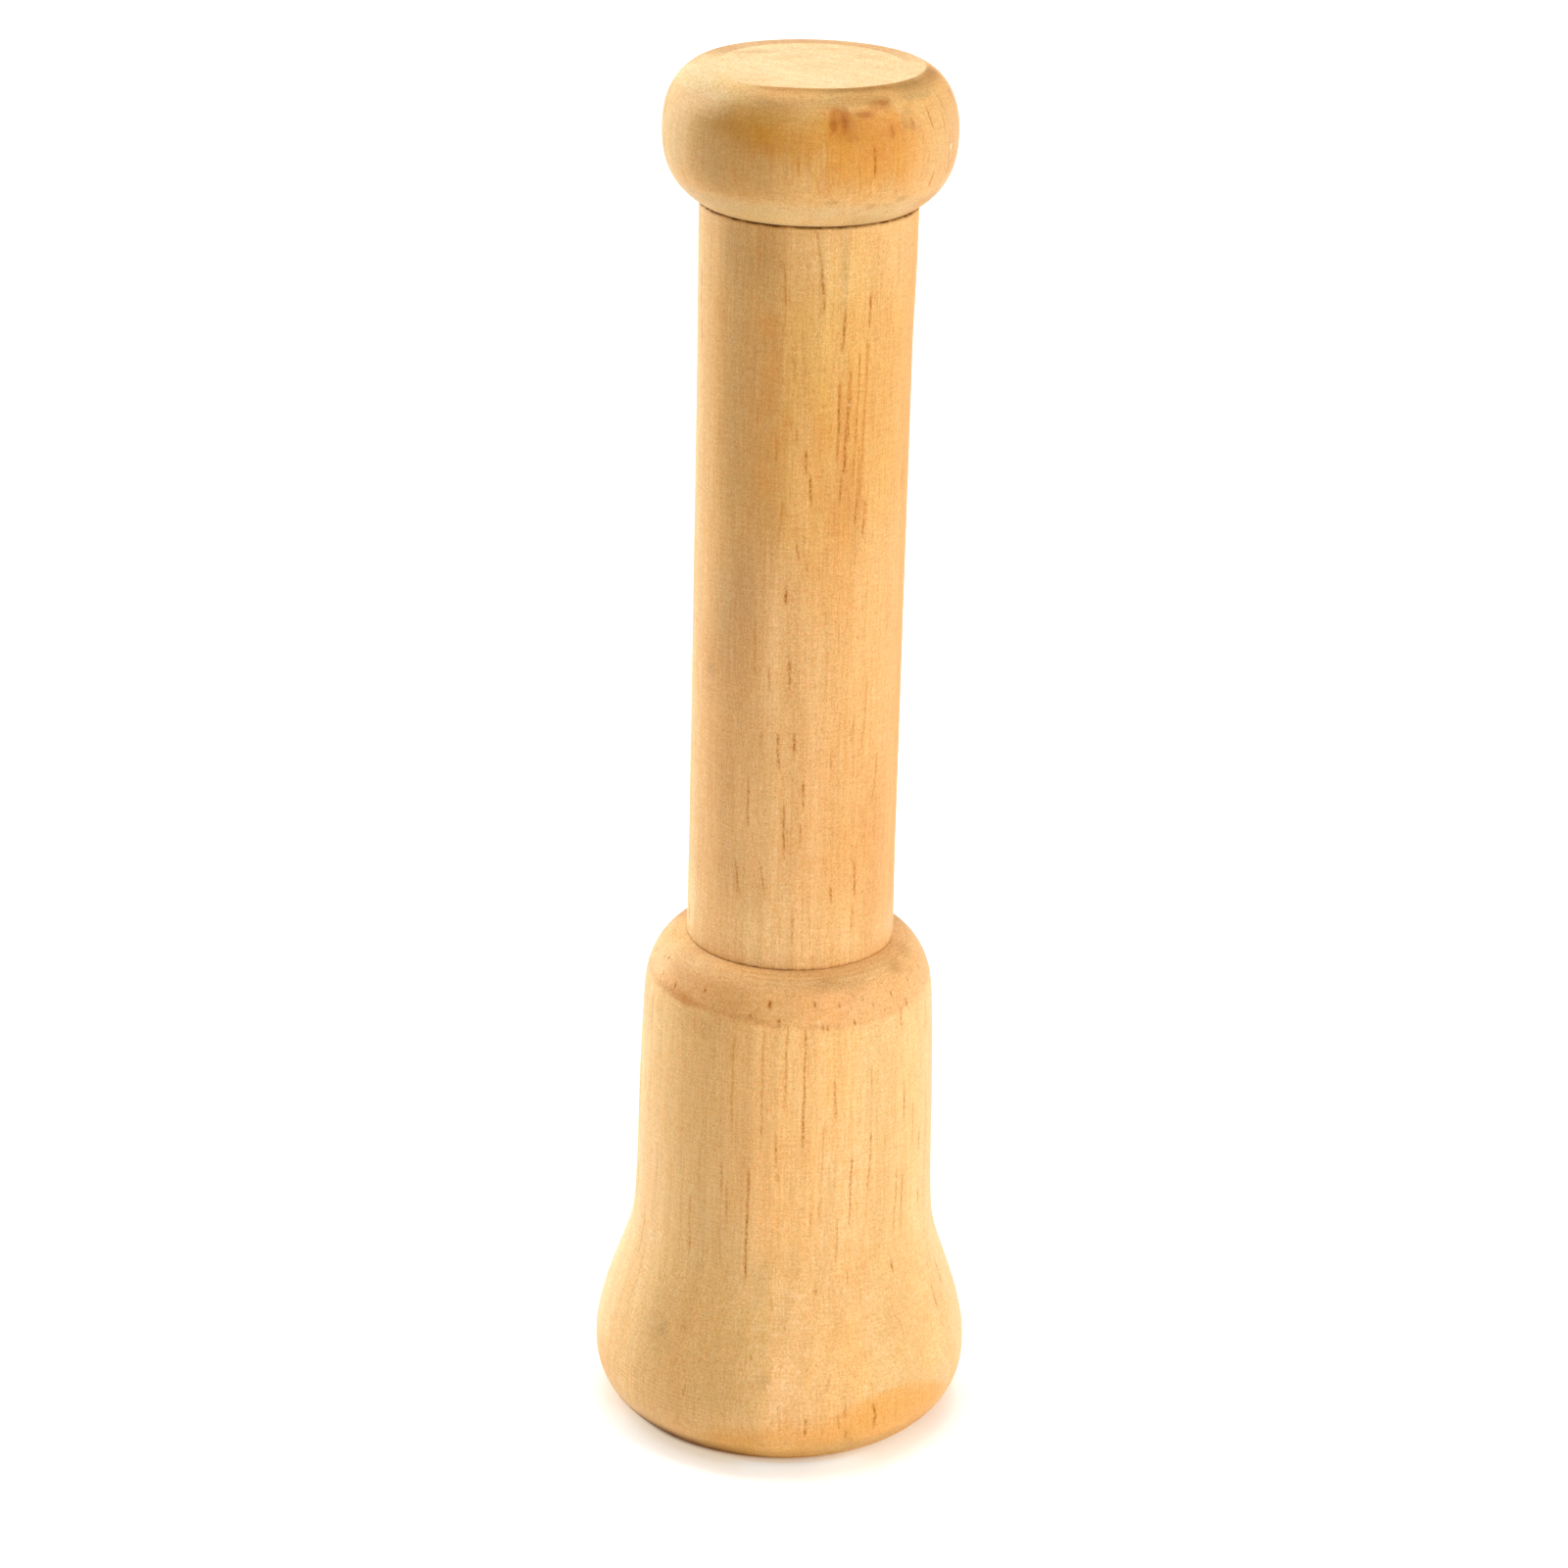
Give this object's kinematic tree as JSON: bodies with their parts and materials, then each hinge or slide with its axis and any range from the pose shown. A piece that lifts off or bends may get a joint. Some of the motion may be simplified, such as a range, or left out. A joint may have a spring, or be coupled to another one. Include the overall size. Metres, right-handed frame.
{
  "type": "muddler",
  "caption": "Turned wooden muddler with a bell-shaped mashing head, a straight round grip and a rounded palm knob with a flat top.",
  "frame": {"origin": "centre of the flat mashing face that the tool stands on", "axes": "+Z along the turning axis, from the mashing face to the palm knob; X and Y are any two directions across it, because the tool is round"},
  "size_m": [0.0556, 0.0556, 0.205],
  "materials": {
    "head_wood": "fine-sanded, unvarnished pale softwood-like wood, grain along the axis",
    "handle_wood": "fine-sanded, unvarnished pale wood, grain along the axis, with brown flecks",
    "knob_wood": "fine-sanded, unvarnished pale wood, end grain on the flat top",
    "dowel_wood": "machined fluted hardwood dowel"
  },
  "bodies": {
    "root": {"head": "head_wood", "handle": "handle_wood", "knob": "knob_wood", "head_dowel": "dowel_wood", "knob_dowel": "dowel_wood"}
  },
  "joints": []
}
